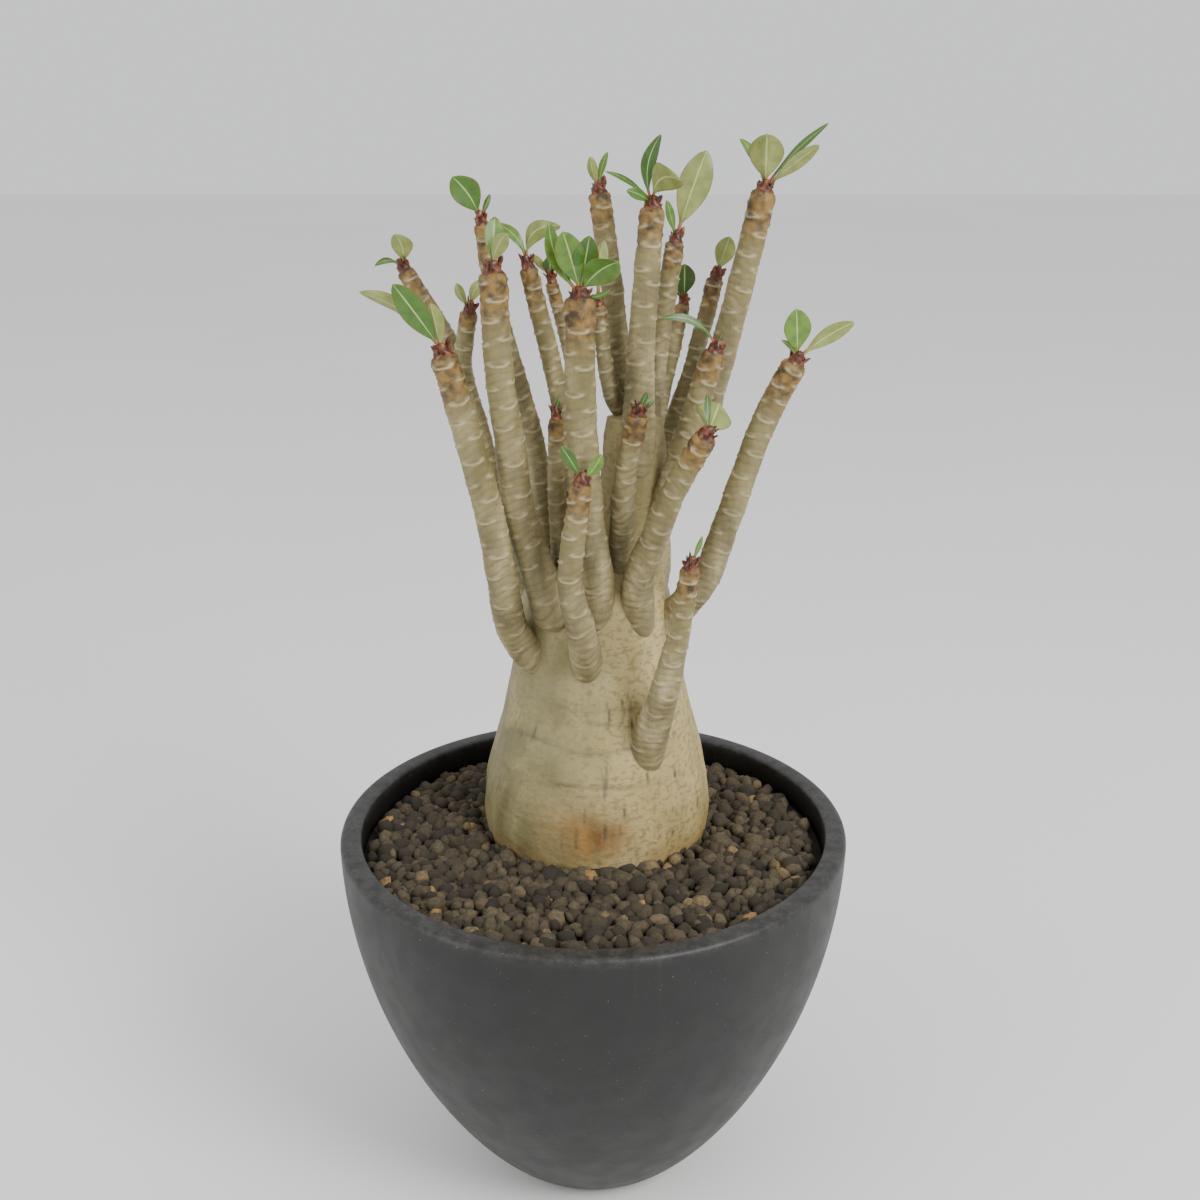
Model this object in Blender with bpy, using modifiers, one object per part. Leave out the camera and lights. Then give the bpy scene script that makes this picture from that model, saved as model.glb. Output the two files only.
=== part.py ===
"""Potted desert rose (adenium): a bowl pot, its grit bed, the swollen trunk base,
twenty-two stems and the tuft of young leaves at each stem's tip.

Run in Blender 4.5. Units are metres, +Z is up, and the origin is the middle of
the pot's foot on the surface that it stands on. The plant faces -Y.
"""
import math

import bmesh
import bpy
from mathutils import Matrix, Vector

MM = 0.001
GAP = 0.3 * MM                   # left between two pieces that rest on each other
MERGE = 0.01 * MM                # distance under which doubled points are welded

# Pot: a turned bowl with a thick rim, a foot ring and drain holes.
RIM_RADIUS = 75.0
POT_HEIGHT = 112.0
FOOT_RADIUS = 26.0
WALL = 3.2
RIM_WIDTH = 6.3
RIM_DEPTH = 9.5
RIM_ROUND = 2.5
FLOOR_TOP = 5.5
RECESS = 2.5                     # how far the underside is raised inside the foot ring
FOOT_RING_WIDTH = 5.0
BOWL_POWER = 1.92                # the two exponents that shape the bowl's side
BOWL_ROUND = 1.24
POT_SEGMENTS = 48
DRAIN_MIDDLE_RADIUS = 5.0
DRAIN_RADIUS = 3.0
DRAIN_CIRCLE = 13.0
DRAIN_COUNT = 6
NOTCH_COUNT = 3
NOTCH_WIDTH = 7.0

# Grit bed.
SOIL_TOP = 105.5

# Caudex: the swollen base, turned about an upright axis behind the pot's middle.
CAUDEX_AXIS = (1.0, 15.0)
CAUDEX_SEGMENTS = 28
CAUDEX_PROFILE = (               # (radius, height), from the top of the crown down
    (0.0, 196.5), (9.0, 195.0), (15.0, 191.5), (19.5, 186.0), (22.0, 180.0),
    (22.9, 173.0), (23.6, 166.0), (25.4, 157.0), (28.1, 145.0), (31.3, 133.0),
    (33.8, 122.0), (34.6, 112.0), (33.4, 103.0), (28.0, 91.0), (19.0, 80.0),
    (9.0, 71.0), (0.0, 67.0),
)
TRUNK_ROUTE = ((4, 15, 160), (9, 14, 180), (11.5, 14, 198), (12, 14, 214), (12, 15.5, 232))
TRUNK_RADII = (16.0, 13.0, 11.0, 9.8, 8.0)

# Stems: (foot radius, tip radius, route from the foot to the tip), and what each grows
# from. A route's first point lies inside the wood that carries the stem.
STEMS = {
    "left_front": (5.0, 3.6, "caudex", ((-12, 6, 158), (-22, -2, 173), (-25, -9, 192),
                   (-28, -13, 213), (-33, -16, 235), (-38, -18, 255))),
    "left_rear": (4.3, 2.4, "caudex", ((-12, 14, 170), (-22, 14, 190), (-28, 13, 211),
                  (-33, 15, 232), (-40, 19, 252), (-52, 24, 271))),
    "left_fork": (1.8, 2.5, "left_rear", ((-36, 17, 241), (-36, 15, 250), (-34, 13, 261))),
    "rear_left": (4.1, 2.2, "caudex", ((-12, 12, 184), (-14, 9, 207), (-17, 8, 230),
                  (-25, 4, 262), (-29, 3, 286))),
    "front_left": (5.4, 3.6, "caudex", ((-11, -1, 180), (-15, -4, 192), (-20, -7, 211),
                   (-22, -12, 232), (-24, -16, 250), (-25, -18, 276))),
    "mid_left": (3.5, 2.4, "caudex", ((-2, 13, 186), (-6, 10, 218), (-10, 9, 243),
                 (-17, 7, 274))),
    "rear_dark": (2.5, 1.8, "caudex", ((2, 20, 186), (-2, 21, 230), (-6, 19, 248),
                  (-11, 17, 269))),
    "front_centre": (5.3, 3.9, "caudex", ((1, 0, 173), (1, -6, 192), (-1, -9, 208),
                     (-3, -13, 242), (-3, -14, 269))),
    "rear_centre": (3.5, 3.0, "caudex", ((9.5, 19, 222), (8, 20, 243), (6, 21, 263),
                    (2, 22, 292))),
    "rear_short": (3.0, 1.8, "rear_centre", ((10, 19, 234), (6, 14, 238), (3, 13, 251),
                   (2, 14, 263))),
    "centre_tall": (5.0, 3.4, "caudex", ((12, 10, 219), (13, 9, 238), (13.5, 9, 256),
                    (16, 11, 289))),
    "centre_rear": (3.1, 2.7, "caudex", ((14, 17, 222), (17, 22, 235), (19, 25, 251),
                    (23, 28, 278))),
    "right_tall": (4.9, 3.5, "caudex", ((16, 16, 196), (24, 18, 216), (32, 20, 232),
                   (42, 24, 270), (47, 25, 292))),
    "right_rear": (3.8, 2.4, "caudex", ((14, 22, 200), (17.5, 27, 212), (22, 30, 223),
                   (28, 32, 240), (35, 35, 267))),
    "far_rear": (2.6, 2.2, "caudex", ((13, 17, 219), (18, 26, 228), (21, 31, 239),
                 (26, 38, 259))),
    "right_mid": (4.4, 3.3, "caudex", ((15, 9, 194), (19, 6.5, 206), (24, 5, 222),
                  (33, 3, 252))),
    "right_front": (4.8, 3.2, "caudex", ((12, 1, 175), (13, -6, 192), (17, -12, 205),
                    (22, -17, 220), (29, -23, 235))),
    "far_right": (4.7, 3.3, "caudex", ((18, 9, 169), (31, 4, 186), (36, 2, 200),
                  (46, 0, 232), (54, -2, 250))),
    "low_right": (5.7, 2.6, "caudex", ((14, -6, 136), (19, -17, 158), (23, -22, 178),
                  (26, -26, 200))),
    "low_centre": (5.0, 3.0, "caudex", ((-1, -2, 160), (-3, -12, 177), (-6, -17, 195),
                   (-3, -19, 221))),
    "low_left": (3.1, 2.0, "caudex", ((-7, 4, 184), (-10, 1, 212), (-10, 2, 234))),
    "low_mid": (4.0, 3.0, "caudex", ((6, 8, 180), (8, 1, 200), (9, -5, 220),
                (12, -8, 237))),
}
FLARE_POWER = 1.5                # how quickly a stem narrows away from its foot

# Leaves of each tuft: (compass angle, rise, length, bow, width, roll), angles in degrees.
# The compass angle turns from +X towards +Y, the rise is above level, the bow lifts the
# middle off the straight line, and the roll turns the blade about its midrib from broad
# side to the front.
LEAVES = {
    "left_front": ((169, 34, 26, 2.8, 4.5, 150), (-153, 55, 22, 0.2, 6.2, 20),
                   (-141, 77, 13, 0.0, 4.4, 165)),
    "left_rear": ((-161, 80, 9, 1.2, 5.4, 175), (-154, 5, 8, 1.5, 1.8, 40)),
    "left_fork": ((-150, 62, 8, -0.6, 2.5, 170), (40, 58, 9, 0.9, 3.3, 160)),
    "rear_left": ((-166, 57, 13, 0.9, 6.8, 10), (40, 62, 7, 0.0, 1.4, 0)),
    "front_left": ((80, 74, 13, 0.7, 4.4, 15), (-47, 58, 11, 1.2, 4.0, 165)),
    "mid_left": ((-20, 47, 14, 4.0, 4.8, 160), (160, 47, 14, 2.3, 2.7, 20)),
    "rear_dark": ((-100, 75, 6, 0.0, 3.8, 10), (169, 48, 8, 0.0, 2.2, 160)),
    "front_centre": ((-166, 66, 20, -2.0, 4.2, 25), (-125, 66, 18, 0.3, 6.8, 5),
                     (-60, 72, 16, 0.2, 5.8, 5), (-35, 38, 15, 1.5, 7.4, 15),
                     (-10, 10, 8, -1.2, 1.4, 0)),
    "rear_short": ((60, 80, 16, 1.5, 4.0, 165),),
    "rear_centre": ((-142, 72, 9, -0.4, 2.6, 170), (0, 76, 10, 0.5, 1.8, 10)),
    "centre_tall": ((-6, 84, 18, 2.6, 4.2, 30), (-43, 34, 12, 4.0, 7.6, 170),
                    (-150, 26, 9, 0.5, 2.8, 20), (156, 30, 16, 1.3, 1.5, 30)),
    "centre_rear": ((27, 68, 25, 0.2, 8.2, 170), (-145, 72, 11, 0.0, 2.4, 20)),
    "right_tall": ((-94, 74, 15, 0.5, 8.6, 172), (150, 58, 15, 1.4, 2.8, 20),
                   (6, 45, 24, 1.2, 2.3, 30), (-25, 38, 19, 0.2, 3.5, 165)),
    "right_rear": ((20, 70, 11, 0.0, 5.2, 170),),
    "far_rear": ((-94, 78, 11, 0.0, 5.6, 5), (-155, 60, 7, -0.4, 1.8, 0)),
    "right_mid": ((-169, 28, 18, 3.3, 2.2, 30), (-30, 70, 4, 0.0, 1.2, 0)),
    "right_front": ((70, 28, 12, 0.0, 9.0, 175), (89, 56, 11, 0.5, 1.7, 20)),
    "far_right": ((-115, 80, 14, 0.3, 6.6, 8), (8, 32, 18, 0.8, 4.0, 165),
                  (-170, 50, 7, 0.8, 1.3, 0)),
    "low_right": ((30, 66, 8, 0.0, 1.4, 20),),
    "low_centre": ((-165, 60, 11, 0.2, 3.0, 10), (-9, 54, 9, -0.6, 3.3, 15)),
    "low_left": ((10, 78, 4, 0.0, 1.4, 0),),
    "low_mid": ((-21, 66, 6, 0.0, 1.6, 0), (19, 30, 5, 0.0, 1.3, 0)),
}
LEAF_THICKNESS = 1.0
LEAF_START = 2.2                 # height of a leaf's root above the stem's end
BUD_SEAT = 0.4                   # the bud's flat foot sits this far off the stem's end
BUD_HEIGHT = 4.2
BUD_FOOT = 0.86                  # bud radii, as parts of the stem's end radius
BUD_TOP = 0.42


def clear_scene():
    """Remove every object that the file opened with."""
    for obj in list(bpy.data.objects):
        bpy.data.objects.remove(obj, do_unlink=True)


def make_collection(name):
    """A new collection under the scene's own."""
    group = bpy.data.collections.new(name)
    bpy.context.scene.collection.children.link(group)
    return group


def make_material(name, colour, roughness, metallic=0.0):
    """A Principled material of one colour."""
    material = bpy.data.materials.new(name)
    material.use_nodes = True
    shader = material.node_tree.nodes["Principled BSDF"]
    shader.inputs["Base Color"].default_value = (*colour, 1.0)
    shader.inputs["Roughness"].default_value = roughness
    shader.inputs["Metallic"].default_value = metallic
    material.diffuse_color = (*colour, 1.0)
    return material


def add_object(name, data, group):
    """Link a new object holding data to the group."""
    obj = bpy.data.objects.new(name, data)
    group.objects.link(obj)
    return obj


def finish(obj, material):
    """Give a piece its one material and smooth shading with sharp edges kept."""
    obj.data.materials.clear()
    obj.data.materials.append(material)
    obj.data.shade_smooth()
    obj.data.set_sharp_from_angle(angle=math.radians(35))
    return obj


def hide_cutter(obj):
    """Mark an object as a cutter, which is no part of the model."""
    obj.hide_render = True
    obj.display_type = "WIRE"
    return obj


def evaluated_mesh(obj):
    """A welded mesh of the object as its modifiers leave it."""
    bpy.context.view_layer.update()
    graph = bpy.context.evaluated_depsgraph_get()
    mesh = bpy.data.meshes.new_from_object(obj.evaluated_get(graph))
    shape = bmesh.new()
    shape.from_mesh(mesh)
    bmesh.ops.remove_doubles(shape, verts=shape.verts, dist=MERGE)
    shape.to_mesh(mesh)
    shape.free()
    return mesh


def settle(obj, group):
    """Replace an object by a plain mesh object of the same name, place and shape."""
    name = obj.name
    mesh = evaluated_mesh(obj)
    place = obj.matrix_world.copy()
    bpy.data.objects.remove(obj, do_unlink=True)
    plain = add_object(name, mesh, group)
    plain.matrix_world = place
    return plain


def combine(obj, other, operation):
    """Add an exact Boolean modifier to obj."""
    modifier = obj.modifiers.new(operation.lower(), "BOOLEAN")
    modifier.operation = operation
    modifier.solver = "EXACT"
    modifier.object = other


def union(first, others, group):
    """Join the others into the first as one body, and remove them."""
    for other in others:
        combine(first, other, "UNION")
    joined = settle(first, group)
    for other in others:
        bpy.data.objects.remove(other, do_unlink=True)
    return joined


def clearance(obj, cutters):
    """A cutter of the object's shape, grown by the gap along its normals."""
    grown = add_object(obj.name + "_clearance", obj.data.copy(), cutters)
    grown.matrix_world = obj.matrix_world.copy()
    push = grown.modifiers.new("grow", "DISPLACE")
    push.mid_level = 0.0
    push.strength = GAP
    return hide_cutter(grown)


def turned(name, profile, segments, axis, group):
    """A solid turned about an upright axis from (radius, height) points in mm."""
    mesh = bpy.data.meshes.new(name)
    points = [(radius * MM, 0.0, height * MM) for radius, height in profile]
    edges = [(i, i + 1) for i in range(len(points) - 1)]
    mesh.from_pydata(points, edges, [])
    obj = add_object(name, mesh, group)
    obj.location = (axis[0] * MM, axis[1] * MM, 0.0)
    screw = obj.modifiers.new("turn", "SCREW")
    screw.axis = "Z"
    screw.steps = segments
    screw.render_steps = segments
    screw.use_merge_vertices = True
    screw.merge_threshold = MERGE
    screw.use_smooth_shade = True
    return obj


def tube(name, route, radii, group):
    """A smooth capped tube through the route's points, with a radius at each, in mm."""
    curve = bpy.data.curves.new(name, "CURVE")
    curve.dimensions = "3D"
    curve.bevel_depth = MM
    curve.bevel_resolution = 2
    curve.resolution_u = 3
    curve.use_fill_caps = True
    spline = curve.splines.new("BEZIER")
    spline.bezier_points.add(len(route) - 1)
    for point, place, radius in zip(spline.bezier_points, route, radii):
        point.co = Vector(place) * MM
        point.radius = radius
        point.handle_left_type = "AUTO"
        point.handle_right_type = "AUTO"
    return settle(add_object(name, curve, group), group)


def bowl_radius(height):
    """Outer radius of the bowl at a height above the surface, in mm."""
    rise = min(max(height / POT_HEIGHT, 0.0), 1.0)
    bulge = (1.0 - (1.0 - rise) ** BOWL_POWER) ** (1.0 / BOWL_ROUND)
    return FOOT_RADIUS + (RIM_RADIUS - FOOT_RADIUS) * bulge


def bowl_heights(low, high, count):
    """Heights from low to high, closer together near the foot, where the side curves."""
    return [low + (high - low) * (i / (count - 1)) ** 1.5 for i in range(count)]


def inner_wall(offset):
    """Inside outline of the bowl from the floor to the rim, drawn in by an offset."""
    step_top = POT_HEIGHT - RIM_DEPTH
    step_low = step_top - RIM_WIDTH / 2
    floor = FLOOR_TOP + offset
    side = []
    for height in bowl_heights(FLOOR_TOP + 4.0, step_low, 8):
        side.append((bowl_radius(height) - WALL - offset, height))
    lip = (RIM_RADIUS - RIM_WIDTH - offset, step_top - offset / 2)
    return [(0.0, floor), (side[0][0] - 4.0, floor)] + side + [lip]


def pot_profile():
    """Pot outline: inner floor, inner wall, rim, outer wall and underside."""
    inner = inner_wall(0.0)
    lip_radius = RIM_RADIUS - RIM_WIDTH
    rim = [(lip_radius, POT_HEIGHT - 0.8), (lip_radius + 0.8, POT_HEIGHT)]
    for i in range(4):
        turn = math.radians(90 - 30 * i)
        rim.append((RIM_RADIUS - RIM_ROUND * (1 - math.cos(turn)),
                    POT_HEIGHT - RIM_ROUND * (1 - math.sin(turn))))
    heights = bowl_heights(1.0, POT_HEIGHT - RIM_ROUND - 6.0, 10)
    outer = [(bowl_radius(height), height) for height in reversed(heights)]
    ring_inner = FOOT_RADIUS - FOOT_RING_WIDTH
    foot = [(FOOT_RADIUS, 0.0), (ring_inner, 0.0), (ring_inner - 1.0, RECESS), (0.0, RECESS)]
    return inner + rim + outer + foot


def hole_cutter(name, radius, place, cutters):
    """An upright round cutter that runs through the pot's floor."""
    bpy.ops.mesh.primitive_cylinder_add(vertices=16, radius=radius * MM, depth=12 * MM)
    hole = bpy.context.object
    hole.name = name
    hole.location = (place[0] * MM, place[1] * MM, 4.0 * MM)
    for owner in list(hole.users_collection):
        owner.objects.unlink(hole)
    cutters.objects.link(hole)
    return hide_cutter(hole)


def notch_cutter(index, cutters):
    """A box that cuts a drainage notch through the foot ring."""
    angle = math.radians(60 + 360 / NOTCH_COUNT * index)
    middle = FOOT_RADIUS - FOOT_RING_WIDTH / 2
    bpy.ops.mesh.primitive_cube_add(size=1.0)
    notch = bpy.context.object
    notch.name = "notch_cutter_%d" % index
    size = Vector((FOOT_RING_WIDTH + 9.0, NOTCH_WIDTH, 2 * RECESS - 1.0)) * MM
    notch.data.transform(Matrix.Diagonal((*size, 1.0)))
    notch.rotation_euler = (0.0, 0.0, angle)
    notch.location = (middle * MM * math.cos(angle), middle * MM * math.sin(angle), 0.0)
    for owner in list(notch.users_collection):
        owner.objects.unlink(notch)
    cutters.objects.link(notch)
    return hide_cutter(notch)


def make_pot(group, cutters, material):
    """The bowl, drained by a middle hole, a ring of smaller ones and three notches."""
    pot = turned("pot", pot_profile(), POT_SEGMENTS, (0.0, 0.0), group)
    holes = [hole_cutter("drain_cutter", DRAIN_MIDDLE_RADIUS, (0.0, 0.0), cutters)]
    for i in range(DRAIN_COUNT):
        angle = 2 * math.pi * i / DRAIN_COUNT
        place = (DRAIN_CIRCLE * math.cos(angle), DRAIN_CIRCLE * math.sin(angle))
        holes.append(hole_cutter("drain_cutter_%d" % i, DRAIN_RADIUS, place, cutters))
    notches = [notch_cutter(i, cutters) for i in range(NOTCH_COUNT)]
    for cutter in holes + notches:
        combine(pot, cutter, "DIFFERENCE")
    return finish(settle(pot, group), material)


def make_caudex(group, material):
    """The swollen base with its buried root, carried up into the forked trunk."""
    bulb = turned("caudex", CAUDEX_PROFILE, CAUDEX_SEGMENTS, CAUDEX_AXIS, group)
    trunk = tube("trunk", TRUNK_ROUTE, TRUNK_RADII, group)
    return finish(union(bulb, [trunk], group), material)


def make_soil(group, caudex_room, material):
    """The grit bed, filling the bowl under the rim, with a socket for the caudex."""
    outline = inner_wall(GAP / MM)
    reach = outline[-1][0]
    profile = [(0.0, SOIL_TOP), (reach, SOIL_TOP)] + outline[::-1]
    soil = turned("soil", profile, POT_SEGMENTS, (0.0, 0.0), group)
    combine(soil, caudex_room, "DIFFERENCE")
    return finish(settle(soil, group), material)


def stem_radii(foot, tip, count):
    """Radii along a stem that flares towards its foot."""
    shares = [1.0 - i / (count - 1) for i in range(count)]
    return [tip + (foot - tip) * share ** FLARE_POWER for share in shares]


def make_stems(group, cutters, caudex_room, material):
    """Every stem, with its foot shaped to the wood that it grows from."""
    rooms = {"caudex": caudex_room}
    for name, (foot, tip, parent, route) in STEMS.items():
        stem = tube("stem_" + name, route, stem_radii(foot, tip, len(route)), group)
        combine(stem, caudex_room, "DIFFERENCE")
        if parent != "caudex":
            combine(stem, rooms[parent], "DIFFERENCE")
        stem = finish(settle(stem, group), material)
        rooms[name] = clearance(stem, cutters)


def frame_along(direction):
    """A turn that takes +Z to the direction, with +X kept level."""
    ahead = direction.normalized()
    level = Vector((0.0, 1.0, 0.0)).cross(ahead)
    if level.length < 0.05:
        level = Vector((1.0, 0.0, 0.0))
    level.normalize()
    face = ahead.cross(level)
    return Matrix((level, face, ahead)).transposed()


def make_leaf(name, root, leaf, group):
    """One blade: a flattened ball, widest past its middle, bowed along its length."""
    compass, rise, length, bow, width, roll = leaf
    compass, rise = math.radians(compass), math.radians(rise)
    ahead = Vector((math.cos(rise) * math.cos(compass),
                    math.cos(rise) * math.sin(compass), math.sin(rise)))
    lift = Vector((-math.sin(rise) * math.cos(compass),
                   -math.sin(rise) * math.sin(compass), math.cos(rise)))
    turn = frame_along(ahead) @ Matrix.Rotation(math.radians(roll), 3, "Z")
    side, face = turn.col[0], turn.col[1]
    shape = bmesh.new()
    bmesh.ops.create_uvsphere(shape, u_segments=6, v_segments=6, radius=1.0)
    for vert in shape.verts:
        share = (vert.co.z + 1.0) / 2.0
        spread = 0.75 + 0.4 * share
        vert.co = (Vector(root) + ahead * length * share
                   + lift * bow * 4.0 * share * (1.0 - share)
                   + side * vert.co.x * spread * width / 2.0
                   + face * vert.co.y * LEAF_THICKNESS / 2.0) * MM
    bmesh.ops.recalc_face_normals(shape, faces=shape.faces)
    mesh = bpy.data.meshes.new(name)
    shape.to_mesh(mesh)
    shape.free()
    return add_object(name, mesh, group)


def make_tuft(name, group, material):
    """The bud on a stem's tip with its young leaves, one grown piece."""
    foot, tip_radius, parent, route = STEMS[name]
    tip = Vector(route[-1])
    ahead = (tip - Vector(route[-2])).normalized()
    shape = bmesh.new()
    bmesh.ops.create_cone(shape, cap_ends=True, segments=8, radius1=tip_radius * BUD_FOOT * MM,
                          radius2=tip_radius * BUD_TOP * MM, depth=BUD_HEIGHT * MM)
    place = Matrix.Translation((tip + ahead * (BUD_HEIGHT / 2 + BUD_SEAT)) * MM)
    bmesh.ops.transform(shape, matrix=place @ frame_along(ahead).to_4x4(), verts=shape.verts)
    mesh = bpy.data.meshes.new("leaves_" + name)
    shape.to_mesh(mesh)
    shape.free()
    bud = add_object("leaves_" + name, mesh, group)
    root = tip + ahead * LEAF_START
    blades = [make_leaf("blade_%d" % i, root, leaf, group)
              for i, leaf in enumerate(LEAVES[name])]
    return finish(union(bud, blades, group), material)


def main():
    """Build every piece."""
    clear_scene()
    group = make_collection("potted_desert_rose")
    cutters = make_collection("cutters")
    pot_plastic = make_material("pot_plastic", (0.018, 0.017, 0.016), 0.55)
    grit = make_material("grit", (0.11, 0.085, 0.055), 0.95)
    caudex_bark = make_material("caudex_bark", (0.50, 0.42, 0.27), 0.62)
    stem_bark = make_material("stem_bark", (0.36, 0.30, 0.20), 0.70)
    leaf_green = make_material("leaf_green", (0.17, 0.27, 0.06), 0.45)
    make_pot(group, cutters, pot_plastic)
    caudex = make_caudex(group, caudex_bark)
    caudex_room = clearance(caudex, cutters)
    make_soil(group, caudex_room, grit)
    make_stems(group, cutters, caudex_room, stem_bark)
    for name in LEAVES:
        make_tuft(name, group, leaf_green)


main()
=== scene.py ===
import math

import bpy
import numpy as np
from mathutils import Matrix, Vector


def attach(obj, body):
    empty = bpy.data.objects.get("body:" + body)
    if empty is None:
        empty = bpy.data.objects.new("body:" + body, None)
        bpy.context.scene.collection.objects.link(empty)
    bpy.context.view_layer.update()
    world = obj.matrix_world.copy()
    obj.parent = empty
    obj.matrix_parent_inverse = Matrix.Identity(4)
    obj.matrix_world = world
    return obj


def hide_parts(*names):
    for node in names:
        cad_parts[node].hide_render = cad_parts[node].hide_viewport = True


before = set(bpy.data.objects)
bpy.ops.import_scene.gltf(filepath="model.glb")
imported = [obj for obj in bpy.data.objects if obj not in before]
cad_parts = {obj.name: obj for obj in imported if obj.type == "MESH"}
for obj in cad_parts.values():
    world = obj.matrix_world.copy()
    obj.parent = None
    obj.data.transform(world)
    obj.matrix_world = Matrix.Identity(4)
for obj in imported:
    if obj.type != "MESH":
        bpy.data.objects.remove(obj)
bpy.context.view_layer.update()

bl_info = {
    "name": "Potted desert rose looks",
    "version": (1, 0, 0),
    "blender": (4, 5, 0),
    "location": "3D View > Sidebar > Desert rose",
    "description": "Builds the fine surfaces of a desert rose in a round bowl pot",
    "category": "Object",
}

MM = 0.001
GOLDEN_TURN = math.radians(137.5)
WAVE_COUNT = 9

# Lengths are in mm down to the looks.

# Pot.
RIM_RADIUS = 75.0
POT_HEIGHT = 112.0
FOOT_RADIUS = 26.0
WALL = 3.2
RIM_WIDTH = 6.3
RIM_DEPTH = 9.5
RIM_ROUND = 2.5
FLOOR_TOP = 5.5
RECESS = 2.5
FOOT_RING_WIDTH = 5.0
BOWL_POWER = 1.92
BOWL_ROUND = 1.24
DRAIN_MIDDLE_RADIUS = 5.0
DRAIN_RADIUS = 3.0
DRAIN_CIRCLE = 13.0
DRAIN_COUNT = 6
NOTCH_COUNT = 3
NOTCH_WIDTH = 7.0
CUTTER_LOW = -3.0                # the cutters start below the foot
CUTTER_HIGH = 9.0                # and the holes' ones end above the floor
POT_COLUMNS = 192

# Grit.
BED_GAP = 0.3                    # between the bed and the pot
BED_EDGE = 68.3
BED_TOP = 103.8
BED_COLUMNS = 96
GRAIN_LEVEL = 104.2              # middle of the lower layer of grains
LAYER_RISE = 1.1
GRAIN_EDGE = 68.2                # grains stay within this of the pot's axis
GRAIN_CLEAR = 33.0               # and beyond this from the caudex's axis

# Caudex: the swollen base, turned about an upright axis behind the pot's middle.
CAUDEX_AXIS = (1.0, 15.0)
CAUDEX_PROFILE = (               # (radius, height), from the top of the crown down
    (0.0, 196.5), (9.0, 195.0), (15.0, 191.5), (19.5, 186.0), (22.0, 180.0),
    (22.9, 173.0), (23.6, 166.0), (25.4, 157.0), (28.1, 145.0), (31.3, 133.0),
    (33.8, 122.0), (34.6, 112.0), (33.4, 103.0), (28.0, 91.0), (19.0, 80.0),
    (9.0, 71.0), (0.0, 67.0),
)
TRUNK_ROUTE = ((4, 15, 160), (9, 14, 180), (11.5, 14, 198), (12, 14, 214), (12, 15.5, 232))
TRUNK_RADII = (16.0, 13.0, 11.0, 9.8, 8.0)
TRUNK_STEP = 0.8
TRUNK_COLUMNS = 72
CAUDEX_ROWS = 230
CAUDEX_COLUMNS = 260
CREASES = (                      # (height, depth, share of the wander)
    (142, 1.0, 0.5), (131, 0.8, -0.4), (153, 0.4, 0.4), (148, 0.4, -0.5), (166, 0.35, -0.6),
)
SLIT_COUNT = 110
WAIST_HEIGHT = 150
STAIN_HEIGHT = 117

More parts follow.
